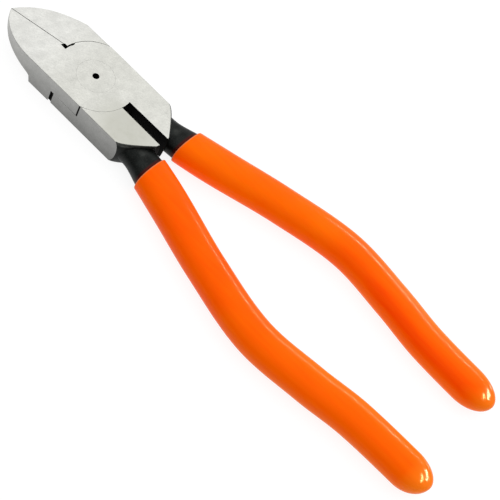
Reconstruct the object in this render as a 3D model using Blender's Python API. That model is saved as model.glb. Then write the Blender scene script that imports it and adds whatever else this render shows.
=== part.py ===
"""Diagonal cutting pliers: two forged levers, lapped on a rivet, with dipped vinyl grips.

The rivet's axis is Z, the jaws point to +Y and the closed tool lies on z = 0.
The upper lever carries the left jaw and the right handle, the lower lever the others.
Lengths are in millimetres until a mesh is made, where MM turns them into metres.
"""
import math

import bmesh
import bpy
from mathutils import Vector

MM = 0.001

# Head
THICKNESS = 9.5
HALF_WIDTH = 11.75
DISC_RADIUS = 12.68
LAP_Z = THICKNESS / 2
LAP_GAP = 0.2
SEAM_TOP = 0.25
SEAM_BOTTOM = 0.42

# Jaws: the cutting edges run from the throat to the tip, skewed to the left
TIP = Vector((-3.9, 32.25))
THROAT = Vector((0.2, 14.0))
EDGE_GAP = 0.16
EDGE_LAND = 0.3
EDGE_BEVEL_DEG = 30.0
BEVEL_START = 0.6
LEFT_JAW_CONTROL = ((-9.8, 29.1), (-12.3, 22.4), (-11.9, 14.6))
RIGHT_JAW_CONTROL = ((4.8, 28.6), (8.7, 21.9), (11.45, 15.1))

# A relief ends the cutting edges at the throat: its corner on each jaw, as the jaw's side.
# The upper disc is ground back beside it.
RELIEF_X = {-1: 0.75, 1: 0.6}
RELIEF_CORNER = {-1: (-0.68, 14.35), 1: (0.6, 13.75)}
DISC_NOTCH = ((-0.74, 12.25), (0.6, 12.28), (1.3, 12.26), (2.2, 11.98), (2.7, 11.93), (3.2, 12.25),
              (3.2, 13.2), (-0.74, 13.2))

# The jaws' underside, as (y, z) from the shoulder to past the tip
SHOULDER_Y = 13.8
UNDERSIDE = ((SHOULDER_Y, 0.0), (14.45, 2.35), (15.2, 2.9), (17.0, 3.45), (22.0, 4.8), (26.0, 5.9),
             (29.0, 7.1), (34.0, 9.35))

# Roots: behind the joint each one ends in a chevron, with a slot between them.
# The chevron's edge curves from its tip to the head's side. Its end face bulges: at mid height
# it reaches CHEVRON_BULGE further back at the head's side, and TIP_SHARE of that at the tip.
SLOT_TOP_X = {-1: 1.35, 1: 1.75}
SLOT_END = {-1: (1.45, -28.6), 1: (1.95, -28.6)}
CHEVRON_TIP = (2.8, -28.3)
CHEVRON_CONTROL = ((6.6, -25.4), (11.3, -21.7), (HALF_WIDTH, -19.9))
CHEVRON_STEPS = 5
CHEVRON_BULGE = 2.0
TIP_SHARE = 0.2
BULGE_HALF_HEIGHT = 4.9
HEAD_LEVELS = (0.0, 0.6, 1.6, 3.0, THICKNESS / 2, 6.5, 7.9, 8.9, THICKNESS)

# Rivet
SHANK_RADIUS = 4.0
RIVET_HEAD_RADIUS = 5.9
RIVET_HEAD_DEPTH = 2.0
RIVET_CLEARANCE = 0.2
SHANK_CLEARANCE = 0.08
DRILL_RADIUS = 0.98
DRILL_DEPTH = 2.2

# Handles: the right one's centre line, and half sizes of the grip around it, by y
CENTRE_LINE = ((-17.0, 6.7), (-24.6, 6.6), (-32.6, 8.2), (-43.4, 11.1), (-64.4, 17.4),
               (-87.5, 22.3), (-107.8, 20.7), (-124.0, 18.4), (-151.0, 17.7))
HALF_WIDTHS = ((-17.0, 5.4), (-26.0, 5.45), (-32.0, 6.35), (-64.0, 5.95), (-115.0, 5.95),
               (-151.0, 5.85))
HALF_DEPTHS = ((-17.0, 4.4), (-26.0, 4.4), (-40.0, LAP_Z), (-151.0, LAP_Z))
SECTION_EXPONENT = 2.4
RING_POINTS = 24
NECK_START_Y = -17.5
MOUTH_Y = -32.2
GRIP_END_Y = {-1: -151.5, 1: -149.95}
GRIP_CAP = {-1: 8.6, 1: 10.0}
CAP_RISE = {-1: 1.4, 1: 0.8}
GRIP_STEPS = 24
VINYL = 0.55
RIM_ROUND = 0.3
TANG_GAP = 0.25
TANG_END_Y = -142.0
TANG_CAP = 4.0
SQUARE_MOUTH_LENGTH = 12.0

ARC_STEP_DEG = 6.0
TURNED_SEGMENTS = 48
SHARP_ANGLE = math.radians(30.0)

# Colours, linear
STEEL = (0.58, 0.58, 0.56)
RIVET_STEEL = (0.62, 0.62, 0.60)
ORANGE = (1.0, 0.13, 0.01)


def clear_scene():
    """Remove whatever the open file holds."""
    for old in list(bpy.data.objects):
        bpy.data.objects.remove(old, do_unlink=True)


def make_material(name, colour, roughness, metallic):
    """A Principled material in one plain colour."""
    material = bpy.data.materials.new(name)
    material.use_nodes = True
    shader = material.node_tree.nodes["Principled BSDF"]
    shader.inputs["Base Color"].default_value = (*colour, 1.0)
    shader.inputs["Roughness"].default_value = roughness
    shader.inputs["Metallic"].default_value = metallic
    return material


def add_object(name, shape, material=None):
    """Turn a bmesh in millimetres into an object in metres."""
    bmesh.ops.recalc_face_normals(shape, faces=shape.faces)
    bmesh.ops.scale(shape, vec=(MM, MM, MM), verts=shape.verts)
    mesh = bpy.data.meshes.new(name)
    shape.to_mesh(mesh)
    shape.free()
    result = bpy.data.objects.new(name, mesh)
    bpy.context.scene.collection.objects.link(result)
    if material:
        mesh.materials.append(material)
        mesh.shade_smooth()
        mesh.set_sharp_from_angle(angle=SHARP_ANGLE)
    return result


def add_tool(name, shape):
    """A cutter or a filler, which only a Boolean sees."""
    tool = add_object(name, shape)
    tool.hide_render = True
    tool.display_type = "WIRE"
    return tool


def combine(target, tool, operation):
    """Give target a Boolean with tool."""
    modifier = target.modifiers.new(tool.name, "BOOLEAN")
    modifier.operation = operation
    modifier.solver = "EXACT"
    modifier.object = tool


def arc(radius, start_deg, end_deg):
    """Points on a circle about the rivet's axis, both ends included."""
    count = max(2, round(abs(end_deg - start_deg) / ARC_STEP_DEG))
    angles = [math.radians(start_deg + (end_deg - start_deg) * i / count) for i in range(count + 1)]
    return [(radius * math.cos(angle), radius * math.sin(angle)) for angle in angles]


def bezier(start, control, count=10):
    """Points on a cubic Bezier, without its start."""
    first, second, end = [Vector(point) for point in control]
    points = []
    for i in range(1, count + 1):
        t = i / count
        s = 1 - t
        point = s ** 3 * start + 3 * s * s * t * first + 3 * s * t * t * second + t ** 3 * end
        points.append(tuple(point))
    return points


def prism(outline, low, high, place):
    """Extrude an outline of (u, v) from low to high, where place(u, v, w) gives x, y, z."""
    shape = bmesh.new()
    ends = []
    for w in (low, high):
        ends.append([shape.verts.new(place(u, v, w)) for u, v in outline])
        shape.faces.new(ends[-1])
    for i, corner in enumerate(ends[0]):
        j = (i + 1) % len(outline)
        shape.faces.new((corner, ends[0][j], ends[1][j], ends[1][i]))
    return shape


def stack(levels):
    """Join outlines of equal length, given as (z, outline), into one closed shape."""
    shape = bmesh.new()
    loops = [[shape.verts.new((x, y, z)) for x, y in outline] for z, outline in levels]
    skin(shape, loops)
    return shape


def skin(shape, loops):
    """Side faces between neighbouring loops of vertices, and a face at each end."""
    for low, high in zip(loops, loops[1:]):
        for i in range(len(low)):
            j = (i + 1) % len(low)
            shape.faces.new((low[i], low[j], high[j], high[i]))
    shape.faces.new(loops[0])
    shape.faces.new(loops[-1])


def turned(profile):
    """Turn a closed profile of (radius, z), from axis to axis, about the rivet's axis."""
    shape = bmesh.new()
    rings = []
    for radius, z in profile:
        if radius == 0:
            rings.append([shape.verts.new((0, 0, z))])
            continue
        angles = [2 * math.pi * i / TURNED_SEGMENTS for i in range(TURNED_SEGMENTS)]
        rings.append([shape.verts.new((radius * math.cos(a), radius * math.sin(a), z)) for a in angles])
    for low, high in zip(rings, rings[1:]):
        for i in range(TURNED_SEGMENTS):
            j = (i + 1) % TURNED_SEGMENTS
            corners = [low[i % len(low)], low[j % len(low)], high[j % len(high)], high[i % len(high)]]
            shape.faces.new(list(dict.fromkeys(corners)))
    return shape


def edge_point(end, side):
    """An end of the cutting edge, moved half the edge gap to its own side."""
    along = (TIP - THROAT).normalized()
    return end + Vector((along.y, -along.x)) * side * EDGE_GAP / 2


def chevron_shift(z):
    """How far back the chevron's end face is at height z, compared with its upper edge."""
    def bulge(height):
        return CHEVRON_BULGE * math.sqrt(1 - ((height - LAP_Z) / BULGE_HALF_HEIGHT) ** 2)

    return bulge(z) - bulge(THICKNESS)


def chevron_points(root_side, shift):
    """The end of a root, from the slot along the curved chevron to the head's side."""
    curve = [CHEVRON_TIP] + bezier(Vector(CHEVRON_TIP), CHEVRON_CONTROL, CHEVRON_STEPS)
    points = [(root_side * SLOT_END[root_side][0], SLOT_END[root_side][1] - shift * TIP_SHARE)]
    for i, (x, y) in enumerate(curve):
        share = TIP_SHARE + (1 - TIP_SHARE) * i / CHEVRON_STEPS
        points.append((root_side * x, y - shift * share))
    return points


def lever_outline(jaw_side, jaw_control, z):
    """The lever cut at height z: jaw on one side, disc round the rivet, root on the other."""
    root_side = -jaw_side
    flat_deg = math.degrees(math.acos(HALF_WIDTH / DISC_RADIUS))
    slot_deg = math.degrees(math.asin(SLOT_TOP_X[root_side] / DISC_RADIUS))
    relief_deg = math.degrees(math.asin(RELIEF_X[jaw_side] / DISC_RADIUS))
    lower_arc = arc(DISC_RADIUS, 360 - flat_deg, 270 - slot_deg)
    upper_arc = arc(DISC_RADIUS, 180 - flat_deg, 90 - relief_deg)
    if jaw_side < 0:
        lower_arc = [(-x, y) for x, y in lower_arc]
        upper_arc = [(-x, y) for x, y in upper_arc]
    points = [tuple(edge_point(TIP, jaw_side))]
    points += bezier(edge_point(TIP, jaw_side), jaw_control)
    points += lower_arc
    points += chevron_points(root_side, chevron_shift(z))
    points += upper_arc
    points.append(RELIEF_CORNER[jaw_side])
    points.append(tuple(edge_point(THROAT, jaw_side)))
    return points


def interpolate(table, y):
    """Straight-line value at y, from a table of (y, value) that runs down in y."""
    for (y0, value0), (y1, value1) in zip(table, table[1:]):
        if y >= y1:
            break
    t = (y0 - y) / (y0 - y1)
    return value0 + (value1 - value0) * t


def centre_at(y):
    """The handle's centre line at y: its x, and the slope dx/dy, smooth through the points."""
    table = CENTRE_LINE
    last = len(table) - 1
    slopes = []
    for i in range(last + 1):
        before = table[max(i - 1, 0)]
        after = table[min(i + 1, last)]
        slopes.append((after[1] - before[1]) / (after[0] - before[0]))
    for i in range(last):
        if y >= table[i + 1][0]:
            break
    span = table[i + 1][0] - table[i][0]
    t = (y - table[i][0]) / span
    x = (table[i][1] * (1 + 2 * t) * (1 - t) ** 2 + table[i + 1][1] * t * t * (3 - 2 * t)
         + span * (slopes[i] * t * (1 - t) ** 2 + slopes[i + 1] * t * t * (t - 1)))
    return x, slopes[i] + (slopes[i + 1] - slopes[i]) * t


def section(side, y, inset, scale=1.0):
    """One ring of the handle: a flattened round, square to the tool at the grip's mouth."""
    x, slope = centre_at(y)
    turn = min(1.0, max(0.0, (MOUTH_Y - y) / SQUARE_MOUTH_LENGTH))
    across = Vector((1.0, -slope * turn, 0.0)).normalized()
    half_width = (interpolate(HALF_WIDTHS, y) - inset) * scale
    half_depth = (interpolate(HALF_DEPTHS, y) - inset) * scale
    ring = []
    for i in range(RING_POINTS):
        angle = 2 * math.pi * (i + 0.5) / RING_POINTS
        power = 2 / SECTION_EXPONENT
        width = math.copysign(abs(math.cos(angle)) ** power, math.cos(angle)) * half_width
        depth = math.copysign(abs(math.sin(angle)) ** power, math.sin(angle)) * half_depth
        centre_z = LAP_Z + CAP_RISE[side] * (1 - scale)
        point = Vector((x, y, centre_z)) + across * width + Vector((0, 0, depth))
        ring.append(Vector((side * point.x, point.y, point.z)))
    return ring


def handle_rings(side, start_y, end_y, cap, inset):
    """Rings from start_y down to a rounded end at end_y, which rises a little."""
    cap_y = end_y + cap
    rings = []
    for i in range(GRIP_STEPS + 1):
        y = start_y + (cap_y - start_y) * i / GRIP_STEPS
        rings.append(section(side, y, inset))
    for degrees in (25, 45, 62, 76, 86):
        angle = math.radians(degrees)
        rings.append(section(side, cap_y - cap * math.sin(angle), inset, math.cos(angle)))
    return rings


def loft(rings):
    """Skin a row of rings into a closed shape."""
    shape = bmesh.new()
    skin(shape, [[shape.verts.new(point) for point in ring] for ring in rings])
    return shape


def rivet_hole():
    """The stepped hole that the rivet turns in."""
    shank = SHANK_RADIUS + SHANK_CLEARANCE
    head = RIVET_HEAD_RADIUS + RIVET_CLEARANCE
    depth = RIVET_HEAD_DEPTH + RIVET_CLEARANCE
    return turned(((0, -1), (head, -1), (head, depth), (shank, depth),
                   (shank, THICKNESS - depth), (head, THICKNESS - depth),
                   (head, THICKNESS + 1), (0, THICKNESS + 1)))


def jaw_underside():
    """What is ground off below the jaws, from the shoulder to the tip."""
    outline = list(UNDERSIDE) + [(UNDERSIDE[-1][0], -1.0), (SHOULDER_Y, -1.0)]
    reach = HALF_WIDTH + 3
    return prism(outline, -reach, reach, lambda y, z, x: (x, y, z))


def disc_notch():
    """What is ground off the upper disc's edge beside the throat."""
    return prism(DISC_NOTCH, LAP_Z - 1, THICKNESS + 1, lambda x, y, z: (x, y, z))


def edge_bevel():
    """The V ground along both cutting edges, open at the underside."""
    along = (TIP - THROAT).normalized()
    across = Vector((along.y, -along.x))
    height = THICKNESS - EDGE_LAND
    half = (height + 1) * math.tan(math.radians(EDGE_BEVEL_DEG))
    end = (TIP - THROAT).length + 3

    def place(u, v, w):
        point = THROAT + across * u + along * w
        return (point.x, point.y, v)

    return prism(((-half, -1), (half, -1), (0, height)), BEVEL_START, end, place)


def make_lever(name, jaw_side, jaw_control, cutters, material):
    """One forging: outline, tang, its half of the lap joint, and the ground jaw."""
    head = stack([(z, lever_outline(jaw_side, jaw_control, z)) for z in HEAD_LEVELS])
    lever = add_object(name, head, material)
    inset = VINYL + TANG_GAP
    tang = loft(handle_rings(-jaw_side, NECK_START_Y, TANG_END_Y, TANG_CAP, inset))
    combine(lever, add_tool(name + "_tang", tang), "UNION")
    for cutter in cutters:
        combine(lever, cutter, "DIFFERENCE")
    return lever


def make_levers(material):
    """Both levers, the lower one recessed above the lap plane and the upper one below it."""
    shared = [add_tool("rivet_hole", rivet_hole()),
              add_tool("jaw_underside", jaw_underside()),
              add_tool("edge_bevel", edge_bevel())]
    low_radius = DISC_RADIUS + SEAM_BOTTOM
    low_top = LAP_Z + LAP_GAP / 2
    low = turned(((0, -1), (low_radius, -1), (low_radius, low_top), (0, low_top)))
    high_radius = DISC_RADIUS + SEAM_TOP
    high_floor = LAP_Z - LAP_GAP / 2
    high_roof = THICKNESS + 1
    high = turned(((0, high_floor), (high_radius, high_floor), (high_radius, high_roof), (0, high_roof)))
    upper_cutters = [add_tool("upper_recess", low), add_tool("disc_notch", disc_notch())] + shared
    lower_cutters = [add_tool("lower_recess", high)] + shared
    upper = make_lever("upper_lever", -1, LEFT_JAW_CONTROL, upper_cutters, material)
    lower = make_lever("lower_lever", 1, RIGHT_JAW_CONTROL, lower_cutters, material)
    return upper, lower


def make_rivet(material):
    """The rivet, its ends flush with both faces of the head and drilled on top."""
    low_step = RIVET_HEAD_DEPTH
    high_step = THICKNESS - RIVET_HEAD_DEPTH
    profile = ((0, 0), (RIVET_HEAD_RADIUS, 0), (RIVET_HEAD_RADIUS, low_step), (SHANK_RADIUS, low_step),
               (SHANK_RADIUS, high_step), (RIVET_HEAD_RADIUS, high_step),
               (RIVET_HEAD_RADIUS, THICKNESS), (DRILL_RADIUS, THICKNESS),
               (DRILL_RADIUS, THICKNESS - DRILL_DEPTH),
               (0, THICKNESS - DRILL_DEPTH - DRILL_RADIUS / 2))
    return add_object("pivot_rivet", turned(profile), material)


def make_grip(name, side, material):
    """A dipped vinyl sleeve with a blind cavity for the tang."""
    cavity = handle_rings(side, MOUTH_Y, TANG_END_Y - TANG_GAP, TANG_CAP, VINYL)
    outside = handle_rings(side, MOUTH_Y - RIM_ROUND, GRIP_END_Y[side], GRIP_CAP[side], 0.0)
    rim = section(side, MOUTH_Y, RIM_ROUND)
    return add_object(name, loft(cavity[::-1] + [rim] + outside), material)


def main():
    """Build the closed tool; turning the pivot_axis empty about Z opens it."""
    clear_scene()
    steel = make_material("ground_steel", STEEL, 0.35, 1.0)
    rivet_steel = make_material("rivet_steel", RIVET_STEEL, 0.3, 1.0)
    vinyl = make_material("orange_vinyl", ORANGE, 0.3, 0.0)
    upper, _ = make_levers(steel)
    make_rivet(rivet_steel)
    make_grip("left_grip", -1, vinyl)
    right_grip = make_grip("right_grip", 1, vinyl)
    pivot = bpy.data.objects.new("pivot_axis", None)
    bpy.context.scene.collection.objects.link(pivot)
    for moving in (upper, right_grip):
        moving.parent = pivot


main()
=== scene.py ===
"""Looks for diagonal cutting pliers: finely made levers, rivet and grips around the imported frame.

The rivet's axis is Z, the jaws point to +Y and the closed tool lies on z = 0. The pieces
repeat the part's shapes with finer curves, rounded edges and the close seams of a fitted joint.
Lengths are in millimetres until a mesh is made, where MM turns them into metres.
"""
import math

import bmesh
import bpy
from mathutils import Matrix, Vector


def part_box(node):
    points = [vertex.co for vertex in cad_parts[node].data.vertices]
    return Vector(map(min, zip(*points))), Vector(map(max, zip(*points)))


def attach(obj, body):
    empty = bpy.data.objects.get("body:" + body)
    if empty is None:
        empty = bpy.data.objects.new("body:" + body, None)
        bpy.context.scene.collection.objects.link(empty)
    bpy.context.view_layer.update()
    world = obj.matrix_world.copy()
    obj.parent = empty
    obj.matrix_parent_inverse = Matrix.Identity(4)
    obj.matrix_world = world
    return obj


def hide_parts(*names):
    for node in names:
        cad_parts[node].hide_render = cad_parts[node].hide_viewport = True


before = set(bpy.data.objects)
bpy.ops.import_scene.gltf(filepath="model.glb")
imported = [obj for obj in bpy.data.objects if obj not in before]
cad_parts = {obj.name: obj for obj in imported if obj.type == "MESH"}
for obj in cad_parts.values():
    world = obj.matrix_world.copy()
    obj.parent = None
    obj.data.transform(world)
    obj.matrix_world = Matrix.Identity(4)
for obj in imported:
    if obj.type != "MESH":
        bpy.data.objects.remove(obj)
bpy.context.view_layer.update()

MM = 0.001

# Head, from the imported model: its thickness is the rivet's height
THICKNESS = (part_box("pivot_rivet")[1].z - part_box("pivot_rivet")[0].z) / MM
HALF_WIDTH = 11.75
DISC_RADIUS = 12.68
LAP_Z = THICKNESS / 2

# Gaps of the joint: between the lap faces, round the upper disc and ahead of it, and round the
# lower disc; and how much the two seams widen at the head's faces
LAP_GAP = 0.12
SEAM_TOP = 0.02
SEAM_JAW = 0.12
SEAM_BOTTOM = 0.42
SEAM_FLARE = 0.015

# Jaws: the cutting edges run from the throat to the tip, on a land above the V ground behind them
TIP = Vector((-3.9, 32.25))
THROAT = Vector((0.2, 14.0))
EDGE_GAP = 0.02
EDGE_LAND = 0.3
EDGE_BEVEL_DEG = 30.0
BEVEL_START = 0.6
JAW_STEPS = 30
LEFT_JAW_CONTROL = ((-9.8, 29.1), (-12.3, 22.4), (-11.9, 14.6))
RIGHT_JAW_CONTROL = ((4.8, 28.6), (8.7, 21.9), (11.45, 15.1))

# The relief at the throat, by the jaw's side; the upper disc's edge ground back beside it;
# and the wider seam where the disc meets the side of the head
RELIEF_X = {-1: 0.75, 1: 0.6}
RELIEF_CORNER = {-1: (-0.68, 14.35), 1: (0.6, 13.75)}
DISC_NOTCH = ((-0.74, 12.25), (0.6, 12.28), (1.3, 12.26), (1.7, 12.1), (2.2, 11.98), (2.7, 11.93),
              (3.0, 12.05), (3.2, 12.25), (3.2, 13.2), (-0.74, 13.2))
SIDE_NOTCH = ((-12.5, -3.5), (-12.5, -5.4), (-11.7, -5.33), (-11.2, -6.1), (-11.3, -5.0))
LOW_SIDE_NOTCH = ((-12.5, 4.5), (-11.5, 4.5), (-11.2, 5.2), (-11.2, 6.5), (-12.5, 6.5))

# What is ground off below the jaws, as (y, z) from the shoulder to past the tip
SHOULDER_Y = 13.8
UNDERSIDE = ((SHOULDER_Y, 0.0), (14.45, 2.35), (15.2, 2.9), (17.0, 3.45), (22.0, 4.8), (26.0, 5.9),
             (29.0, 7.1), (34.0, 9.35))

# Roots, by their side: a slot between them, and a bulging, curved chevron at the end of each
SLOT_TOP_X = {-1: 1.35, 1: 1.75}
SLOT_END = {-1: (1.45, -28.6), 1: (1.95, -28.6)}
CHEVRON_TIP = (2.8, -28.3)
CHEVRON_CONTROL = ((6.6, -25.4), (11.3, -21.7), (HALF_WIDTH, -19.9))
CHEVRON_STEPS = 12
CHEVRON_BULGE = 2.0
TIP_SHARE = 0.2
BULGE_HALF_HEIGHT = 4.9

# Rounding of the head's edges: its depth, and its width for each kind of edge. Edges that turn
# less than NEARLY_STRAIGHT, the sine of the turn, move by the average of the two widths
ROUND_DEPTH = 0.18
ROUND_DEGREES = (0, 30, 60, 90)
ROUND_WIDTH = {"jaw": 0.16, "side": 0.18, "seam": 0.03, "slot": 0.14, "chevron": 0.16,
               "throat": 0.0, "blade": 0.09}
NEARLY_STRAIGHT = 0.05
MIDDLE_LEVELS = (0.5, 1.0, 1.8, 2.8, 3.8, 4.75, 5.7, 6.7, 7.7, 8.5, 9.0)

# Rivet: a shank with wider ends, close in its hole and drilled on top; the drilling is the last
# bands of its turned profile
SHANK_RADIUS = 4.0
RIVET_RADIUS = 5.9
RIVET_HEAD_DEPTH = 2.0
RIVET_CLEARANCE = 0.008
RIVET_CHAMFER = 0.012
DRILL_RADIUS = 0.98
DRILL_CHAMFER = 0.1
DRILL_DEPTH = 2.2
DRILLED_BANDS = 3

# Handles: the right one's centre line, and half sizes of the grip around it, by y
CENTRE_LINE = ((-17.0, 6.7), (-24.6, 6.6), (-32.6, 8.2), (-43.4, 11.1), (-64.4, 17.4),
               (-87.5, 22.3), (-107.8, 20.7), (-124.0, 18.4), (-151.0, 17.7))
HALF_WIDTHS = ((-17.0, 5.4), (-26.0, 5.45), (-32.0, 6.35), (-64.0, 5.95), (-115.0, 5.95),
               (-151.0, 5.85))
HALF_DEPTHS = ((-17.0, 4.4), (-26.0, 4.4), (-40.0, LAP_Z), (-151.0, LAP_Z))
SECTION_EXPONENT = 2.4
RING_POINTS = 64
GRIP_STEPS = 90
CAP_STEPS = 14
CAP_END_DEG = 89.0

# The grips' rounded ends, by side: where they end, how long they are and how far they rise
GRIP_END_Y = {-1: -151.5, 1: -149.95}
GRIP_CAP = {-1: 8.6, 1: 10.0}
CAP_RISE = {-1: 1.4, 1: 0.8}

# The grips' mouths, the length over which their sections turn from square to the tool to square
# to the handle, and the vinyl's wall, its rounded rim and the thin flared lip inside it
MOUTH_Y = -32.2
SQUARE_MOUTH_LENGTH = 12.0
VINYL = 0.57
RIM_ROUND = 0.3
RIM_DEGREES = (0, 25, 50, 75)
MOUTH_WALL = 0.4
MOUTH_FLARE = 1.2

# The tangs: where the necks start inside the head, how far inside the grip's skin they run, and
# where they and the grips' cavities end
NECK_START_Y = -17.5
NECK_INSET = 0.75
CAVITY_END_Y = -141.0
CAVITY_CAP = 4.0

# How far cutters reach past what they cut, and how far the long ones do
OVERSHOOT = 1.0
LONG_OVERSHOOT = 3.0

# Fineness of arcs and of turned shapes, and the angle from which an edge is shaded sharp
ARC_STEP_DEG = 2.5
TURNED_SEGMENTS = 128
SHARP_ANGLE = math.radians(38.0)

# Material slots of a lever, and the slots of its outline's walls that aren't bright; the joint slot's
# near black is dark joints in the seams and painted shade in the slot between the roots
BRIGHT, BLACK, SHADED_JOINT = 0, 1, 2
WALL_SLOTS = {"chevron": BLACK, "slot": SHADED_JOINT, "throat": SHADED_JOINT, "seam": SHADED_JOINT, "blade": SHADED_JOINT}

# Steel colours, linear: on the faces, towards the jaws, on the upright walls (a duller finish darkened
# further as painted shade), round the left root
FACE_STEEL = (0.52, 0.52, 0.484)
JAW_STEEL = (0.562, 0.562, 0.536)
DULL_AND_SHADED_WALL_STEEL = (0.29, 0.29, 0.28)
DARKER_ROOT_STEEL = (0.41, 0.41, 0.365)

# Oxide colours: thick and thin, in the pits, worn with a painted highlight at the top, and painted red
# shade with the orange rim's reflection at the grips
THICK_OXIDE = (0.0035, 0.0045, 0.004)
THIN_OXIDE = (0.010, 0.012, 0.011)
PITTED_OXIDE = (0.028, 0.028, 0.026)
WORN_AND_HIGHLIT_OXIDE = (0.17, 0.175, 0.16)
PAINTED_MOUTH_SHADE = (0.05, 0.003, 0.001)

# Oiled joint faces darkened further as painted shade, and the vinyl: its reddest and yellowest orange,
# its tips yellowed as painted light, its rims with a painted highlight, and its gloss
DARK_OIL_AND_SHADE = (0.001, 0.001, 0.001)
PALE_OIL_AND_SHADE = (0.004, 0.004, 0.0035)
RED_VINYL = (1.0, 0.067, 0.0)
YELLOW_VINYL = (1.0, 0.165, 0.0)
# The tips' yellower orange is painted light from below
LIT_TIP_VINYL = (1.0, 0.2, 0.01)
# The rim's paler orange is a painted highlight
HIGHLIT_RIM_VINYL = (0.70, 0.21, 0.08)
GLOSS_TINT = (1.0, 0.65, 0.2, 1.0)

# Where one look fades into another: spans of y, of height, of x and of the distance from a centre
JAW_FADE = (3.0, 17.0)
# Painted shade on the upright walls: lighter towards the jaws, darker towards the bottom
WALL_SHADE_FADE = (-22.0, 28.0)
WALL_SHADE_HEIGHT_FADE = (0.5, 8.8)
DARKER_ROOT_CENTRE = (-5.5, -19.0, 9.5)
DARKER_ROOT_FADE = (5.0, 13.0)
DARKER_ROOT_SIDE_FADE = (-1.5, 1.5)
# Worn oxide with a painted highlight along the top edge: its height, and where it starts near the
# chevron's tip
WEAR_AND_HIGHLIGHT_HEIGHT_FADE = (THICKNESS - 1.2, THICKNESS - 0.5)
WEAR_AND_HIGHLIGHT_FADE = (-29.5, -27.5)
# Painted dark red shade with the orange rim's painted reflection, on the necks by the grips' mouths
PAINTED_MOUTH_SHADE_FADE = (MOUTH_Y + 0.6, MOUTH_Y + 1.2)
# Painted light on the grips: where it takes over towards the ends, on the left grip, and at the ends
PAINTED_LIGHT_FADE = (-78.0, -104.0)
PAINTED_LEFT_LIFT_FADE = (-1.0, 1.0)
PAINTED_END_LIGHT_FADE = (-138.0, -149.0)
# Painted light on the grips' tips, as lit from below
LIT_TIP_FADE = (-143.0, -151.0)
# Painted highlight along the grips' rounded rims
RIM_HIGHLIGHT_FADE = (MOUTH_Y - 0.45, MOUTH_Y - 0.2)

# Noise: its roughness, and the values that most of it lies between
NOISE_ROUGHNESS = 0.55
NOISE_SPREAD = (0.3, 0.7)

# Steepness, as the normal's height, from upright walls to level faces
STEEPNESS_FADE = (0.25, 0.85)

# The direction across the grips, both ways along which their orange grows yellower as painted light,
# and how far past square to it a side faces where the orange is reddest, as painted shade
PAINTED_LIGHT_DIRECTION = (0.8, 0.0, 0.6)
PAST_SQUARE = 0.05

# Principled sockets that are set to constants, and the sockets of a Mix node for colours
SOCKETS = {"metallic": "Metallic", "colour": "Base Color", "roughness": "Roughness", "ior": "IOR",
           "specular": "Specular IOR Level", "tint": "Specular Tint",
           "glow_colour": "Emission Color", "glow": "Emission Strength"}
MIX_SHARE, MIX_FIRST, MIX_SECOND, MIX_RESULT = 0, 6, 7, 2

# Light: the side that the soft light comes from, how bright each side is, how it fades towards
# the horizon, and the glowing table
SOFT_LIGHT_FROM = (0.5, 0.0, 0.866)
SOFT_LIGHT_FADE = (-0.2, 0.95)
BRIGHT_SIDE = 1.6
DIM_SIDE = 0.15
HORIZON_SHARE = 0.35
HORIZON_HEIGHT = 0.45
FLOOR_GLOW = 0.88
FLOOR_GREY = 0.15
FLOOR_REACH = 3000.0

# Narrow strip lights, seen only as glints: azimuth and elevation from the grips' ends,
# width and height, and brightness
STRIP_TARGET = (0.0, -147.0, 8.0)
STRIP_DISTANCE = 500.0
STRIPS = ((-68.0, 52.0, 280.0, 55.0, 120.0), (-42.0, 35.0, 200.0, 70.0, 150.0),
          (-19.0, 5.0, 60.0, 50.0, 18.0), (1.0, 33.0, 260.0, 16.0, 75.0))

# Camera: where it stands, and the directions that run right and up in its image
EYE = Vector((-220.4, -116.3, 313.1))
IMAGE_RIGHT = Vector((0.62477, -0.70657, 0.33230))
IMAGE_UP = Vector((0.53053, 0.69640, 0.48329))
LENS = 94.6
SENSOR = 36.0
CLIP_START = 0.01


# ---------------------------------------------------------------- outlines

def arc(radius, start_deg, end_deg):
    """Points on a circle about the rivet's axis, both ends included."""
    count = max(2, round(abs(end_deg - start_deg) / ARC_STEP_DEG))
    angles = [math.radians(start_deg + (end_deg - start_deg) * i / count) for i in range(count + 1)]
    return [(radius * math.cos(angle), radius * math.sin(angle)) for angle in angles]


def bezier(start, control, count):
    """Points on a cubic Bezier, without its start."""
    first, second, end = [Vector(point) for point in control]
    points = []
    for i in range(1, count + 1):
        t = i / count
        s = 1 - t
        point = s ** 3 * start + 3 * s * s * t * first + 3 * s * t * t * second + t ** 3 * end
        points.append(tuple(point))
    return points


def edge_point(end, side):
    """An end of the cutting edge, moved half the edge gap to its own side."""
    along = (TIP - THROAT).normalized()
    return end + Vector((along.y, -along.x)) * side * EDGE_GAP / 2


def chevron_shift(z):
    """How far back the chevron's end face is at height z, compared with its upper edge."""
    def bulge(height):
        return CHEVRON_BULGE * math.sqrt(1 - ((height - LAP_Z) / BULGE_HALF_HEIGHT) ** 2)

    return bulge(z) - bulge(THICKNESS)


def tagged(points, kind, last_kind):
    """Points as (x, y, kind of the edge that starts there); the last one starts another kind."""
    kinds = [kind] * (len(points) - 1) + [last_kind]
    return [(x, y, name) for (x, y), name in zip(points, kinds)]


def chevron_points(root_side, shift):
    """The end of a root: slot, tip and curved chevron, which bulges less towards its tip."""
    curve = [CHEVRON_TIP] + bezier(Vector(CHEVRON_TIP), CHEVRON_CONTROL, CHEVRON_STEPS)
    x, y = SLOT_END[root_side]
    points = [(root_side * x, y - shift * TIP_SHARE)]
    for i, (x, y) in enumerate(curve):
        share = TIP_SHARE + (1 - TIP_SHARE) * i / CHEVRON_STEPS
        points.append((root_side * x, y - shift * share))
    return tagged(points[:2], "slot", "chevron") + tagged(points[2:], "chevron", "side")


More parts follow.
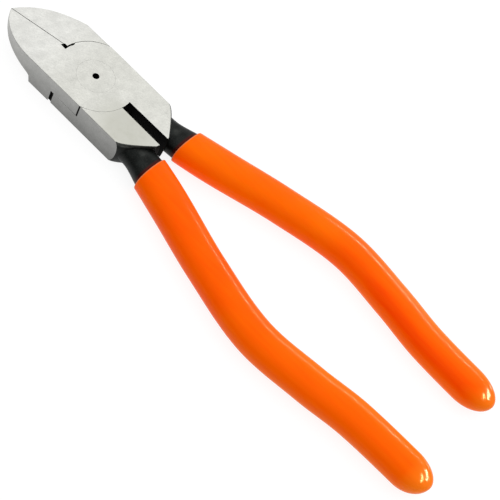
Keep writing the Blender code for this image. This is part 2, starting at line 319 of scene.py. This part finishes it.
def lever_outline(jaw_side, jaw_control, z):
    """The lever cut at height z: jaw on one side, disc round the rivet, root on the other."""
    flat_deg = math.degrees(math.acos(HALF_WIDTH / DISC_RADIUS))
    slot_deg = math.degrees(math.asin(SLOT_TOP_X[-jaw_side] / DISC_RADIUS))
    relief_deg = math.degrees(math.asin(RELIEF_X[jaw_side] / DISC_RADIUS))
    lower_arc = arc(DISC_RADIUS, 360 - flat_deg, 270 - slot_deg)
    upper_arc = arc(DISC_RADIUS, 180 - flat_deg, 90 - relief_deg)
    if jaw_side < 0:
        lower_arc = [(-x, y) for x, y in lower_arc]
        upper_arc = [(-x, y) for x, y in upper_arc]
    tip = edge_point(TIP, jaw_side)
    points = tagged([tuple(tip)] + bezier(tip, jaw_control, JAW_STEPS), "jaw", "side")
    points += tagged(lower_arc, "seam", "slot")
    points += chevron_points(-jaw_side, chevron_shift(z))
    points += tagged(upper_arc, "seam", "throat")
    points.append((*RELIEF_CORNER[jaw_side], "throat"))
    points.append((*edge_point(THROAT, jaw_side), "blade"))
    return points


def signed_area(outline):
    """Twice the area of an outline, positive where it runs anticlockwise."""
    following = outline[1:] + outline[:1]
    return sum(a[0] * b[1] - a[1] * b[0] for a, b in zip(outline, following))


def move_edges(outline, share):
    """Move every edge of an outline inward by its kind's rounding width times share."""
    turn = 1 if signed_area(outline) > 0 else -1
    count = len(outline)
    normals = []
    for i, (x, y, _) in enumerate(outline):
        along = Vector(outline[(i + 1) % count][:2]) - Vector((x, y))
        normals.append(Vector((-along.y, along.x)).normalized() * turn)
    moved = []
    for i, (x, y, kind) in enumerate(outline):
        before, after = normals[i - 1], normals[i]
        first = ROUND_WIDTH[outline[i - 1][2]] * share
        second = ROUND_WIDTH[kind] * share
        spread = before.cross(after)
        if abs(spread) < NEARLY_STRAIGHT:
            step = (before * first + after * second) / 2
        else:
            step = Vector((first * after.y - second * before.y,
                           second * before.x - first * after.x)) / spread
        moved.append((x + step.x, y + step.y, kind))
    return moved


def head_levels():
    """Heights of the head's cuts, each with the share of the edge rounding taken off there."""
    rounding = []
    for degrees in ROUND_DEGREES:
        angle = math.radians(degrees)
        rounding.append((ROUND_DEPTH * (1 - math.cos(angle)), 1 - math.sin(angle)))
    levels = rounding + [(z, 0.0) for z in MIDDLE_LEVELS]
    return levels + [(THICKNESS - z, share) for z, share in reversed(rounding)]


# ---------------------------------------------------------------- solids

def skin(shape, loops, slots=None):
    """Side faces between neighbouring loops, each in its column's slot, and a face at each end."""
    for low, high in zip(loops, loops[1:]):
        for i in range(len(low)):
            j = (i + 1) % len(low)
            face = shape.faces.new((low[i], low[j], high[j], high[i]))
            face.material_index = slots[i] if slots else 0
    shape.faces.new(loops[0])
    shape.faces.new(loops[-1])


def head_solid(jaw_side, jaw_control):
    """The lever's head: one outline per level, each wall in its own material slot."""
    shape = bmesh.new()
    loops = []
    for z, share in head_levels():
        outline = move_edges(lever_outline(jaw_side, jaw_control, z), share)
        loops.append([shape.verts.new((x, y, z)) for x, y, _ in outline])
    slots = [WALL_SLOTS.get(kind, BRIGHT) for _, _, kind in outline]
    skin(shape, loops, slots)
    return shape


def prism(outline, low, high, place):
    """Extrude an outline of (u, v) from low to high, where place(u, v, w) gives x, y, z."""
    shape = bmesh.new()
    skin(shape, [[shape.verts.new(place(u, v, w)) for u, v in outline] for w in (low, high)])
    return shape


def turned(profile, slots=None, centre_y=0.0):
    """Turn a closed profile of (radius, z), from axis to axis, about an upright axis."""
    shape = bmesh.new()
    rings = []
    for radius, z in profile:
        if radius == 0:
            rings.append([shape.verts.new((0, centre_y, z))])
            continue
        angles = [2 * math.pi * i / TURNED_SEGMENTS for i in range(TURNED_SEGMENTS)]
        rings.append([shape.verts.new((radius * math.cos(a), centre_y + radius * math.sin(a), z))
                      for a in angles])
    for band, (low, high) in enumerate(zip(rings, rings[1:])):
        for i in range(TURNED_SEGMENTS):
            j = (i + 1) % TURNED_SEGMENTS
            corners = [low[i % len(low)], low[j % len(low)], high[j % len(high)], high[i % len(high)]]
            face = shape.faces.new(list(dict.fromkeys(corners)))
            face.material_index = slots[band] if slots else 0
    return shape


def in_slot(shape, slot):
    """Give every face of a shape one material slot."""
    for face in shape.faces:
        face.material_index = slot
    return shape


# ---------------------------------------------------------------- handles

def interpolate(table, y):
    """Straight-line value at y, from a table of (y, value) that runs down in y."""
    for (y0, value0), (y1, value1) in zip(table, table[1:]):
        if y >= y1:
            break
    t = (y0 - y) / (y0 - y1)
    return value0 + (value1 - value0) * t


def centre_at(y):
    """The handle's centre line at y: its x, and the slope dx/dy, smooth through the points."""
    table = CENTRE_LINE
    last = len(table) - 1
    slopes = []
    for i in range(last + 1):
        before = table[max(i - 1, 0)]
        after = table[min(i + 1, last)]
        slopes.append((after[1] - before[1]) / (after[0] - before[0]))
    for i in range(last):
        if y >= table[i + 1][0]:
            break
    span = table[i + 1][0] - table[i][0]
    t = (y - table[i][0]) / span
    x = (table[i][1] * (1 + 2 * t) * (1 - t) ** 2 + table[i + 1][1] * t * t * (3 - 2 * t)
         + span * (slopes[i] * t * (1 - t) ** 2 + slopes[i + 1] * t * t * (t - 1)))
    return x, slopes[i] + (slopes[i + 1] - slopes[i]) * t


def section(side, y, inset, scale=1.0):
    """One ring of the handle: a flattened round, square to the tool at the grip's mouth."""
    x, slope = centre_at(y)
    turn = min(1.0, max(0.0, (MOUTH_Y - y) / SQUARE_MOUTH_LENGTH))
    across = Vector((1.0, -slope * turn, 0.0)).normalized()
    half_width = (interpolate(HALF_WIDTHS, y) - inset) * scale
    half_depth = (interpolate(HALF_DEPTHS, y) - inset) * scale
    centre = Vector((x, y, LAP_Z + CAP_RISE[side] * (1 - scale)))
    power = 2 / SECTION_EXPONENT
    ring = []
    for i in range(RING_POINTS):
        angle = 2 * math.pi * (i + 0.5) / RING_POINTS
        width = math.copysign(abs(math.cos(angle)) ** power, math.cos(angle)) * half_width
        depth = math.copysign(abs(math.sin(angle)) ** power, math.sin(angle)) * half_depth
        point = centre + across * width + Vector((0, 0, depth))
        ring.append(Vector((side * point.x, point.y, point.z)))
    return ring


def handle_rings(side, start_y, end_y, cap, inset):
    """Rings from start_y down to a rounded end at end_y."""
    cap_y = end_y + cap
    rings = []
    for i in range(GRIP_STEPS + 1):
        y = start_y + (cap_y - start_y) * i / GRIP_STEPS
        rings.append(section(side, y, inset))
    for i in range(1, CAP_STEPS + 1):
        angle = math.radians(CAP_END_DEG) * i / CAP_STEPS
        rings.append(section(side, cap_y - cap * math.sin(angle), inset, math.cos(angle)))
    return rings


def rim_rings(side):
    """The grip's rounded mouth, from its inner edge to its skin."""
    rings = []
    for degrees in RIM_DEGREES:
        angle = math.radians(degrees)
        y = MOUTH_Y - RIM_ROUND * (1 - math.cos(angle))
        rings.append(section(side, y, RIM_ROUND * (1 - math.sin(angle))))
    return rings


def loft(rings, slot=0):
    """Skin a row of rings into a closed shape."""
    shape = bmesh.new()
    skin(shape, [[shape.verts.new(point) for point in ring] for ring in rings])
    return in_slot(shape, slot)


# ---------------------------------------------------------------- cutters

def rivet_hole():
    """The stepped hole that the rivet turns in, slightly flared at both faces."""
    shank = SHANK_RADIUS + RIVET_CLEARANCE
    head = RIVET_RADIUS + RIVET_CLEARANCE
    mouth = head + RIVET_CHAMFER
    depth = RIVET_HEAD_DEPTH + RIVET_CLEARANCE
    below, above = -OVERSHOOT, THICKNESS + OVERSHOOT
    return turned(((0, below), (mouth, below), (mouth, 0), (head, RIVET_CHAMFER), (head, depth),
                   (shank, depth), (shank, THICKNESS - depth), (head, THICKNESS - depth),
                   (head, THICKNESS - RIVET_CHAMFER), (mouth, THICKNESS), (mouth, above), (0, above)))


def recess(radius, floor, face, centre_y=0.0):
    """The round space for the other lever's disc, from its floor to beyond a face of the head."""
    out = 1 if face > floor else -1
    wide = radius + SEAM_FLARE
    beyond = face + out * OVERSHOOT
    profile = ((0, floor), (radius, floor), (radius, face - out * SEAM_FLARE), (wide, face),
               (wide, beyond), (0, beyond))
    return turned(profile, centre_y=centre_y)


def jaw_underside():
    """What is ground off below the jaws, from the shoulder to the tip."""
    outline = list(UNDERSIDE) + [(UNDERSIDE[-1][0], -OVERSHOOT), (SHOULDER_Y, -OVERSHOOT)]
    reach = HALF_WIDTH + LONG_OVERSHOOT
    return prism(outline, -reach, reach, lambda y, z, x: (x, y, z))


def layer_notch(outline, floor, face):
    """A cutter with an outline of (x, y), for one layer of the head."""
    return prism(outline, floor, face, lambda x, y, z: (x, y, z))


def edge_bevel():
    """The V ground along both cutting edges, open at the underside."""
    along = (TIP - THROAT).normalized()
    across = Vector((along.y, -along.x))
    height = THICKNESS - EDGE_LAND
    half = (height + OVERSHOOT) * math.tan(math.radians(EDGE_BEVEL_DEG))
    end = (TIP - THROAT).length + LONG_OVERSHOOT

    def place(u, v, w):
        point = THROAT + across * u + along * w
        return (point.x, point.y, v)

    outline = ((-half, -OVERSHOOT), (half, -OVERSHOOT), (0, height))
    return prism(outline, BEVEL_START, end, place)


# ---------------------------------------------------------------- objects

def make_mesh(name, shape, materials):
    """Turn a bmesh in millimetres into a mesh in metres, with its material slots."""
    bmesh.ops.recalc_face_normals(shape, faces=shape.faces)
    bmesh.ops.scale(shape, vec=(MM, MM, MM), verts=shape.verts)
    mesh = bpy.data.meshes.new(name)
    for material in materials:
        mesh.materials.append(material)
    shape.to_mesh(mesh)
    shape.free()
    return mesh


def link(name, mesh):
    """An object that shows a mesh."""
    result = bpy.data.objects.new(name, mesh)
    bpy.context.scene.collection.objects.link(result)
    return result


def carve(name, shape, tools, materials):
    """Apply tools, as (shape, operation), to a shape, and return the mesh that results."""
    target = link(name, make_mesh(name, shape, materials))
    helpers = []
    for i, (tool, operation) in enumerate(tools):
        helper = link(f"{name}_tool_{i}", make_mesh(f"{name}_tool_{i}", tool, materials))
        modifier = target.modifiers.new(helper.name, "BOOLEAN")
        modifier.operation = operation
        modifier.solver = "EXACT"
        modifier.object = helper
        helpers.append(helper)
    graph = bpy.context.evaluated_depsgraph_get()
    mesh = bpy.data.meshes.new_from_object(target.evaluated_get(graph))
    for helper in helpers + [target]:
        bpy.data.objects.remove(helper, do_unlink=True)
    return mesh


def finish_piece(name, mesh, node, body):
    """Shade a mesh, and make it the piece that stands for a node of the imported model."""
    mesh.shade_smooth()
    mesh.set_sharp_from_angle(angle=SHARP_ANGLE)
    piece = link(name, mesh)
    weighted = piece.modifiers.new("weighted_normals", "WEIGHTED_NORMAL")
    weighted.keep_sharp = True
    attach(piece, body)
    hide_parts(node)
    return piece


def lever_mesh(name, jaw_side, jaw_control, recesses, materials):
    """One forging: head, neck, its half of the lap joint, and the ground jaw."""
    tang = loft(handle_rings(-jaw_side, NECK_START_Y, CAVITY_END_Y, CAVITY_CAP, NECK_INSET), BLACK)
    tools = [(tang, "UNION")]
    tools += [(in_slot(shape, SHADED_JOINT), "DIFFERENCE") for shape in recesses + [rivet_hole()]]
    tools += [(in_slot(shape, BRIGHT), "DIFFERENCE") for shape in (jaw_underside(), edge_bevel())]
    return carve(name, head_solid(jaw_side, jaw_control), tools, materials)


def rivet_mesh(materials):
    """The rivet, its ends flush with both faces of the head and drilled on top."""
    low, high = RIVET_HEAD_DEPTH, THICKNESS - RIVET_HEAD_DEPTH
    rim = RIVET_RADIUS - RIVET_CHAMFER
    profile = ((0, 0), (rim, 0), (RIVET_RADIUS, RIVET_CHAMFER), (RIVET_RADIUS, low),
               (SHANK_RADIUS, low), (SHANK_RADIUS, high), (RIVET_RADIUS, high),
               (RIVET_RADIUS, THICKNESS - RIVET_CHAMFER), (rim, THICKNESS),
               (DRILL_RADIUS + DRILL_CHAMFER, THICKNESS), (DRILL_RADIUS, THICKNESS - DRILL_CHAMFER),
               (DRILL_RADIUS, THICKNESS - DRILL_DEPTH), (0, THICKNESS - DRILL_DEPTH - DRILL_RADIUS / 2))
    slots = [0] * (len(profile) - 1 - DRILLED_BANDS) + [1] * DRILLED_BANDS
    return make_mesh("rivet", turned(profile, slots), materials)


def grip_mesh(side, materials):
    """A dipped sleeve with a rounded mouth and a blind cavity for the tang."""
    cavity = handle_rings(side, MOUTH_Y - MOUTH_FLARE, CAVITY_END_Y, CAVITY_CAP, VINYL)
    mouth = section(side, MOUTH_Y, MOUTH_WALL)
    skin_rings = handle_rings(side, MOUTH_Y - RIM_ROUND, GRIP_END_Y[side], GRIP_CAP[side], 0.0)
    return make_mesh("grip", loft(cavity[::-1] + [mouth] + rim_rings(side) + skin_rings), materials)


# ---------------------------------------------------------------- materials

def add_node(tree, kind, inputs=None, **settings):
    """A shader node with its settings, and inputs set to numbers or linked to sockets."""
    node = tree.nodes.new(kind)
    for name, value in settings.items():
        setattr(node, name, value)
    for name, value in (inputs or {}).items():
        if isinstance(value, bpy.types.NodeSocket):
            tree.links.new(value, node.inputs[name])
        else:
            node.inputs[name].default_value = value
    return node


def noise(tree, size, detail=2.0, stretch=(1, 1, 1), turn_deg=0.0):
    """Noise whose lumps are about size millimetres, drawn out along the stretched axes."""
    place = add_node(tree, "ShaderNodeTexCoord").outputs["Object"]
    turned_place = add_node(tree, "ShaderNodeMapping", {
        "Vector": place, "Rotation": (0, 0, math.radians(turn_deg))}).outputs["Vector"]
    scaled = add_node(tree, "ShaderNodeMapping", {
        "Vector": turned_place, "Scale": [1 / (size * MM * s) for s in stretch]}).outputs["Vector"]
    return add_node(tree, "ShaderNodeTexNoise", {
        "Vector": scaled, "Scale": 1.0, "Detail": detail,
        "Roughness": NOISE_ROUGHNESS}).outputs["Fac"]


def remap(tree, value, low, high, to_low, to_high):
    """Map low..high to to_low..to_high, clamped."""
    return add_node(tree, "ShaderNodeMapRange", {
        "Value": value, "From Min": low, "From Max": high,
        "To Min": to_low, "To Max": to_high}).outputs["Result"]


def vary(tree, pattern, low, high):
    """Spread a noise pattern over low..high."""
    return remap(tree, pattern, *NOISE_SPREAD, low, high)


def fade(tree, place, span, start=0.0, end=1.0):
    """Go from start to end while a place, in metres, goes through a span of millimetres."""
    return remap(tree, place, span[0] * MM, span[1] * MM, start, end)


def arithmetic(tree, operation, first, second):
    """One Math node."""
    node = add_node(tree, "ShaderNodeMath", operation=operation)
    for socket, value in zip(node.inputs, (first, second)):
        if isinstance(value, bpy.types.NodeSocket):
            tree.links.new(value, socket)
        else:
            socket.default_value = value
    return node.outputs[0]


def mix_colour(tree, share, first, second, blend_type="MIX"):
    """Mix two colours, each a triple or a socket."""
    node = add_node(tree, "ShaderNodeMix", data_type="RGBA", blend_type=blend_type)
    for index, value in ((MIX_SHARE, share), (MIX_FIRST, first), (MIX_SECOND, second)):
        socket = node.inputs[index]
        if isinstance(value, bpy.types.NodeSocket):
            tree.links.new(value, socket)
        elif isinstance(value, float):
            socket.default_value = value
        else:
            socket.default_value = (*value, 1.0)
    return node.outputs[MIX_RESULT]


def bump(tree, height, depth, normal=None):
    """Bump as high as depth millimetres, on top of another normal."""
    inputs = {"Height": height, "Strength": 1.0, "Distance": depth * MM}
    if normal:
        inputs["Normal"] = normal
    return add_node(tree, "ShaderNodeBump", inputs).outputs["Normal"]


def upright_share(tree):
    """1 on walls that stand upright and 0 on faces that look up or down."""
    normal = add_node(tree, "ShaderNodeNewGeometry").outputs["Normal"]
    height = add_node(tree, "ShaderNodeSeparateXYZ", {"Vector": normal}).outputs["Z"]
    level = arithmetic(tree, "ABSOLUTE", height, 0.0)
    return remap(tree, level, *STEEPNESS_FADE, 1.0, 0.0)


def along(tree, axis):
    """The place along one axis of the tool, in metres."""
    place = add_node(tree, "ShaderNodeTexCoord").outputs["Object"]
    return add_node(tree, "ShaderNodeSeparateXYZ", {"Vector": place}).outputs[axis]


def left_root_darkening(tree, cloud):
    """Darker, slightly yellower steel round the left root, fading onto the disc."""
    place = add_node(tree, "ShaderNodeTexCoord").outputs["Object"]
    centre = [value * MM for value in DARKER_ROOT_CENTRE]
    away = add_node(tree, "ShaderNodeVectorMath", {0: place, 1: centre}, operation="DISTANCE")
    near = fade(tree, away.outputs["Value"], DARKER_ROOT_FADE, 1.0, 0.0)
    left = fade(tree, along(tree, "X"), DARKER_ROOT_SIDE_FADE, 1.0, 0.0)
    share = arithmetic(tree, "MULTIPLY", near, left)
    return arithmetic(tree, "MULTIPLY", share, remap(tree, cloud, 0.3, 0.65, 0.7, 1.0))


def start_material(name, **constants):
    """A new node material, its tree and its Principled shader, with sockets set to constants."""
    material = bpy.data.materials.new(name)
    material.use_nodes = True
    shader = material.node_tree.nodes["Principled BSDF"]
    for key, value in constants.items():
        shader.inputs[SOCKETS[key]].default_value = value
    return material, material.node_tree, shader


def connect(tree, shader, colour, roughness, normal):
    """Link a colour, a roughness and a normal to a shader."""
    for name, socket in (("Base Color", colour), ("Roughness", roughness), ("Normal", normal)):
        tree.links.new(socket, shader.inputs[name])


def grey(tree, value):
    """A grey colour as bright as value."""
    return add_node(tree, "ShaderNodeCombineColor",
                    {"Red": value, "Green": value, "Blue": value}).outputs["Color"]


def steel_base(tree, upright):
    """The steel's colour before its grain: paler on the jaws; darker on the walls, partly a duller
    finish and partly painted shade, darker towards the bottom and lighter towards the jaws.
    """
    face = mix_colour(tree, fade(tree, along(tree, "Y"), JAW_FADE), FACE_STEEL, JAW_STEEL)
    # Painted shade on the walls: lighter towards the jaws, darker towards the bottom
    painted_wall_shade = arithmetic(tree, "MULTIPLY", fade(tree, along(tree, "Y"), WALL_SHADE_FADE, 0.90, 1.36),
                            fade(tree, along(tree, "Z"), WALL_SHADE_HEIGHT_FADE, 0.72, 1.12))
    wall = mix_colour(tree, 1.0, DULL_AND_SHADED_WALL_STEEL, grey(tree, painted_wall_shade), "MULTIPLY")
    return mix_colour(tree, upright, face, wall)


def ground_steel(name):
    """Ground steel: mottled grain on the faces, darker and drawn out on the upright walls, the darkness
    partly painted shade.
    """
    material, tree, shader = start_material(name, metallic=1.0)
    grain = noise(tree, 0.4, detail=4.0)
    blotch = noise(tree, 2.2, detail=3.0)
    cloud = noise(tree, 8.0)
    strokes = noise(tree, 0.22, detail=3.0, stretch=(14, 1, 1), turn_deg=52.0)
    passes = noise(tree, 1.5, stretch=(6, 1, 1), turn_deg=12.0)
    wall_strokes = noise(tree, 0.25, detail=3.0, stretch=(1, 9, 1))
    upright = upright_share(tree)
    colour = steel_base(tree, upright)
    shade = vary(tree, blotch, 0.95, 1.04)
    for pattern, low, high in ((grain, 0.89, 1.09), (cloud, 0.96, 1.04), (passes, 0.965, 1.03),
                               (strokes, 0.92, 1.06), (wall_strokes, 0.95, 1.04)):
        shade = arithmetic(tree, "MULTIPLY", shade, vary(tree, pattern, low, high))
    colour = mix_colour(tree, 1.0, colour, grey(tree, shade), "MULTIPLY")
    share = arithmetic(tree, "MULTIPLY", left_root_darkening(tree, blotch),
                       arithmetic(tree, "SUBTRACT", 1.0, upright))
    colour = mix_colour(tree, share, colour, DARKER_ROOT_STEEL)
    rough = arithmetic(tree, "ADD", vary(tree, grain, 0.33, 0.43), vary(tree, strokes, 0.0, 0.08))
    normal = bump(tree, wall_strokes, 0.006, bump(tree, strokes, 0.008, bump(tree, grain, 0.012)))
    connect(tree, shader, colour, rough, normal)
    return material


def black_oxide(name):
    """Satin black oxide on a forged surface: worn streaks with a painted highlight at the top edge, and
    painted dark red shade with the orange rim's reflection next to the grip.
    """
    material, tree, shader = start_material(name, metallic=0.85)
    pits = noise(tree, 0.45, detail=4.0)
    cloud = noise(tree, 2.5, detail=3.0)
    streaks = noise(tree, 0.3, detail=3.0, stretch=(7, 7, 1))
    # Worn streaks with a painted highlight along the top edge
    near_top = fade(tree, along(tree, "Z"), WEAR_AND_HIGHLIGHT_HEIGHT_FADE)
    ahead = fade(tree, along(tree, "Y"), WEAR_AND_HIGHLIGHT_FADE)
    wear_and_highlight = arithmetic(tree, "MULTIPLY", arithmetic(tree, "MULTIPLY", near_top, ahead),
                      remap(tree, streaks, 0.42, 0.62, 0.1, 0.5))
    colour = mix_colour(tree, remap(tree, cloud, 0.35, 0.65, 0.0, 1.0), THICK_OXIDE, THIN_OXIDE)
    colour = mix_colour(tree, remap(tree, pits, 0.5, 0.68, 0.0, 0.5), colour, PITTED_OXIDE)
    colour = mix_colour(tree, wear_and_highlight, colour, WORN_AND_HIGHLIT_OXIDE)
    # Painted dark red shade with the orange rim's painted reflection on the neck by the grip's mouth
    colour = mix_colour(tree, fade(tree, along(tree, "Y"), PAINTED_MOUTH_SHADE_FADE, 1.0, 0.0), colour, PAINTED_MOUTH_SHADE)
    rough = vary(tree, pits, 0.36, 0.54)
    connect(tree, shader, colour, rough, bump(tree, cloud, 0.06, bump(tree, pits, 0.03)))
    return material


def joint_steel_and_shade(name):
    """Machined joint faces, nearly black: old oil in the seams, painted shade in the slot between the
    roots and in the rivet's drilling.
    """
    material, tree, shader = start_material(name, metallic=0.0, specular=0.04)
    grain = noise(tree, 0.3, detail=3.0)
    colour = mix_colour(tree, vary(tree, grain, 0.0, 1.0), DARK_OIL_AND_SHADE, PALE_OIL_AND_SHADE)
    rough = vary(tree, grain, 0.5, 0.65)
    connect(tree, shader, colour, rough, bump(tree, grain, 0.01))
    return material


def vinyl_tone_and_painted_light(tree):
    """How yellow the orange is: near the mouths a slow uneven tone; towards the ends painted light and
    shade, yellower on the sides, the ends and the left grip, redder on the shoulder.
    """
    normal = add_node(tree, "ShaderNodeTexCoord").outputs["Normal"]
    facing = add_node(tree, "ShaderNodeVectorMath", {0: normal, 1: PAINTED_LIGHT_DIRECTION},
                      operation="DOT_PRODUCT").outputs["Value"]
    off = arithmetic(tree, "ADD", facing, PAST_SQUARE)
    painted_shade_valley = arithmetic(tree, "MULTIPLY", off, off)
    painted_light_share = fade(tree, along(tree, "Y"), PAINTED_LIGHT_FADE)
    painted_left_lift = fade(tree, along(tree, "X"), PAINTED_LEFT_LIFT_FADE, 0.45, 0.05)
    painted_end_light = fade(tree, along(tree, "Y"), PAINTED_END_LIGHT_FADE, 0.0, 0.95)
    painted_light_tone = arithmetic(tree, "MAXIMUM", remap(tree, painted_shade_valley, 0.0, 0.8, 0.0, 1.0),
                          arithmetic(tree, "MAXIMUM", painted_left_lift, painted_end_light))
    tone = remap(tree, noise(tree, 28.0), 0.35, 0.65, 0.35, 0.75)
    shared = arithmetic(tree, "MULTIPLY", arithmetic(tree, "SUBTRACT", 1.0, painted_light_share), tone)
    return arithmetic(tree, "ADD", shared, arithmetic(tree, "MULTIPLY", painted_light_share, painted_light_tone))


def dipped_vinyl(name):
    """Glossy dipped vinyl: slow unevenness from the dip, painted light and shade, a painted highlight on
    the rim, faint orange peel, varying gloss.
    """
    material, tree, shader = start_material(name, metallic=0.0, ior=1.45, specular=0.11, tint=GLOSS_TINT)
    slow = noise(tree, 9.0)
    peel = noise(tree, 1.6)
    runs = noise(tree, 1.0, stretch=(1, 14, 1))
    grain = noise(tree, 0.25, detail=3.0)
    # The orange's tone, mostly painted light and shade
    shade = arithmetic(tree, "ADD", vinyl_tone_and_painted_light(tree), vary(tree, runs, -0.08, 0.08))
    colour = mix_colour(tree, shade, RED_VINYL, YELLOW_VINYL)
    # Painted light: the tips yellower, as lit from below
    colour = mix_colour(tree, fade(tree, along(tree, "Y"), LIT_TIP_FADE), colour, LIT_TIP_VINYL)
    # Painted highlight along the rounded rim
    colour = mix_colour(tree, fade(tree, along(tree, "Y"), RIM_HIGHLIGHT_FADE), colour, HIGHLIT_RIM_VINYL)
    gloss = arithmetic(tree, "ADD", vary(tree, slow, 0.08, 0.12),
                       remap(tree, grain, 0.4, 0.7, 0.0, 0.04))
    normal = bump(tree, grain, 0.001, bump(tree, peel, 0.004, bump(tree, slow, 0.05)))
    connect(tree, shader, colour, gloss, normal)
    return material


def pale_floor(name):
    """A plain pale light table, so that shadows on it stay soft and faint."""
    return start_material(name, metallic=0.0, roughness=0.9, specular=0.1, glow=FLOOR_GLOW,
                          colour=(FLOOR_GREY, FLOOR_GREY, FLOOR_GREY, 1.0),
                          glow_colour=(1.0, 1.0, 1.0, 1.0))[0]


# ---------------------------------------------------------------- stage

def add_camera():
    """The camera, high up on the left of the handles."""
    toward = IMAGE_RIGHT.cross(IMAGE_UP)
    turn = Matrix((IMAGE_RIGHT, IMAGE_UP, toward)).transposed().to_4x4()
    camera = bpy.data.objects.new("camera", bpy.data.cameras.new("camera"))
    camera.matrix_world = Matrix.Translation(EYE * MM) @ turn
    camera.data.lens = LENS
    camera.data.sensor_width = SENSOR
    camera.data.clip_start = CLIP_START
    bpy.context.scene.collection.objects.link(camera)
    bpy.context.scene.camera = camera


def add_strip(name, receivers, azimuth, elevation, width, height, brightness):
    """A strip light aimed at the grips' ends, which only the receivers' gloss shows."""
    data = bpy.data.lights.new(name, "AREA")
    data.shape = "RECTANGLE"
    data.size = width * MM
    data.size_y = height * MM
    data.energy = brightness * math.pi * data.size * data.size_y
    flat = math.cos(math.radians(elevation))
    toward = Vector((flat * math.cos(math.radians(azimuth)), flat * math.sin(math.radians(azimuth)),
                     math.sin(math.radians(elevation))))
    light = bpy.data.objects.new(name, data)
    light.location = (Vector(STRIP_TARGET) + toward * STRIP_DISTANCE) * MM
    light.rotation_mode = "QUATERNION"
    light.rotation_quaternion = (-toward).to_track_quat("-Z", "Y")
    light.light_linking.receiver_collection = receivers
    light.visible_diffuse = False
    light.visible_camera = False
    bpy.context.scene.collection.objects.link(light)


def add_world():
    """A pale studio, brightest where its big soft light hangs and dim on the far side."""
    world = bpy.data.worlds.new("studio")
    world.use_nodes = True
    tree = world.node_tree
    place = add_node(tree, "ShaderNodeTexCoord").outputs["Generated"]
    facing = add_node(tree, "ShaderNodeVectorMath", {0: place, 1: SOFT_LIGHT_FROM},
                      operation="DOT_PRODUCT").outputs["Value"]
    background = tree.nodes["Background"]
    background.inputs["Color"].default_value = (1.0, 1.0, 1.0, 1.0)
    height = add_node(tree, "ShaderNodeSeparateXYZ", {"Vector": place}).outputs["Z"]
    soft_light = remap(tree, facing, *SOFT_LIGHT_FADE, DIM_SIDE, BRIGHT_SIDE)
    strength = arithmetic(tree, "MULTIPLY", soft_light,
                          remap(tree, height, 0.0, HORIZON_HEIGHT, HORIZON_SHARE, 1.0))
    tree.links.new(strength, background.inputs["Strength"])
    bpy.context.scene.world = world


def add_floor():
    """The floor the tool lies on."""
    shape = bmesh.new()
    shape.faces.new([shape.verts.new((x * FLOOR_REACH, y * FLOOR_REACH, 0))
                     for x, y in ((-1, -1), (1, -1), (1, 1), (-1, 1))])
    floor = link("floor", make_mesh("floor", shape, [pale_floor("pale_floor")]))


def add_stage(glossy_pieces):
    """Floor, light and camera."""
    bpy.context.scene.view_settings.view_transform = "Standard"
    add_floor()
    add_world()
    receivers = bpy.data.collections.new("glossy_pieces")
    for piece in glossy_pieces:
        receivers.objects.link(piece)
    for i, strip in enumerate(STRIPS):
        add_strip(f"strip_{i}", receivers, *strip)
    add_camera()


# ---------------------------------------------------------------- tool

def add_levers():
    """Both levers, each with its own recess for the other's disc."""
    materials = [ground_steel("ground_steel"), black_oxide("black_oxide"), joint_steel_and_shade("joint_steel_and_shade")]
    floor, roof = LAP_Z - LAP_GAP / 2, LAP_Z + LAP_GAP / 2
    below, above = -OVERSHOOT, THICKNESS + OVERSHOOT
    upper = [recess(DISC_RADIUS + SEAM_BOTTOM, roof, 0.0), layer_notch(DISC_NOTCH, floor, above)]
    lower = [recess(DISC_RADIUS + SEAM_TOP, floor, THICKNESS),
             recess(DISC_RADIUS + SEAM_TOP, floor, THICKNESS, SEAM_JAW),
             layer_notch(SIDE_NOTCH, floor, above), layer_notch(LOW_SIDE_NOTCH, below, roof)]
    for name, node, side, control, recesses in (
            ("lever_upper", "upper_lever", -1, LEFT_JAW_CONTROL, upper),
            ("lever_lower", "lower_lever", 1, RIGHT_JAW_CONTROL, lower)):
        mesh = lever_mesh(name, side, control, recesses, materials)
        finish_piece(name, mesh, node, node)


def add_rivet():
    """The joint's rivet."""
    # The rivet's drilling takes the joint's near black, as painted shade
    mesh = rivet_mesh([ground_steel("rivet_steel"), joint_steel_and_shade("drilled_steel_painted_shade")])
    finish_piece("rivet", mesh, "pivot_rivet", "lower_lever")


def add_grips():
    """The two dipped grips, each on the body of its tang."""
    vinyl = dipped_vinyl("orange_vinyl")
    return [finish_piece(name, grip_mesh(side, [vinyl]), node, body)
            for name, node, side, body in (("grip_left", "left_grip", -1, "lower_lever"),
                                           ("grip_right", "right_grip", 1, "upper_lever"))]


add_levers()
add_rivet()
add_stage(add_grips())
